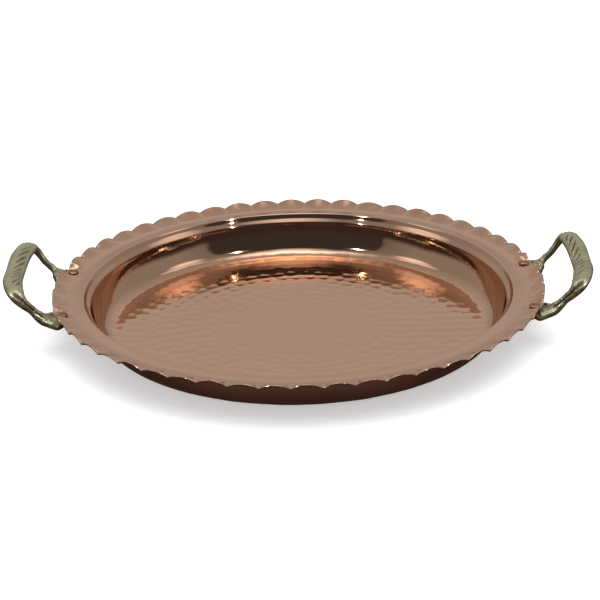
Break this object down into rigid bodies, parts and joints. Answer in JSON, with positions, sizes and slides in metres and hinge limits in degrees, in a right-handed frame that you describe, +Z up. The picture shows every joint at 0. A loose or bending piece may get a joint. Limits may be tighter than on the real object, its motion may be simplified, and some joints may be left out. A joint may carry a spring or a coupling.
{
  "type": "serving tray",
  "caption": "Round hammered copper serving tray with a fluted, scalloped rim and two cast brass handles riveted under it.",
  "frame": {"origin": "centre of the flat base's underside, on the surface that the tray stands on", "axes": "+X through the middle of one handle, +Y across the tray, +Z up out of the dish"},
  "size_m": [0.401, 0.337, 0.0497],
  "materials": {
    "copper_sheet": "polished hammered copper",
    "cast_brass": "antique cast brass, dark in the recesses and worn bright on the high spots",
    "copper_rivet": "darkened copper"
  },
  "bodies": {
    "root": {"tray_dish": "copper_sheet", "handle_left": "cast_brass", "handle_right": "cast_brass", "rivet_left_back": "copper_rivet", "rivet_left_front": "copper_rivet", "rivet_right_back": "copper_rivet", "rivet_right_front": "copper_rivet"}
  },
  "joints": []
}
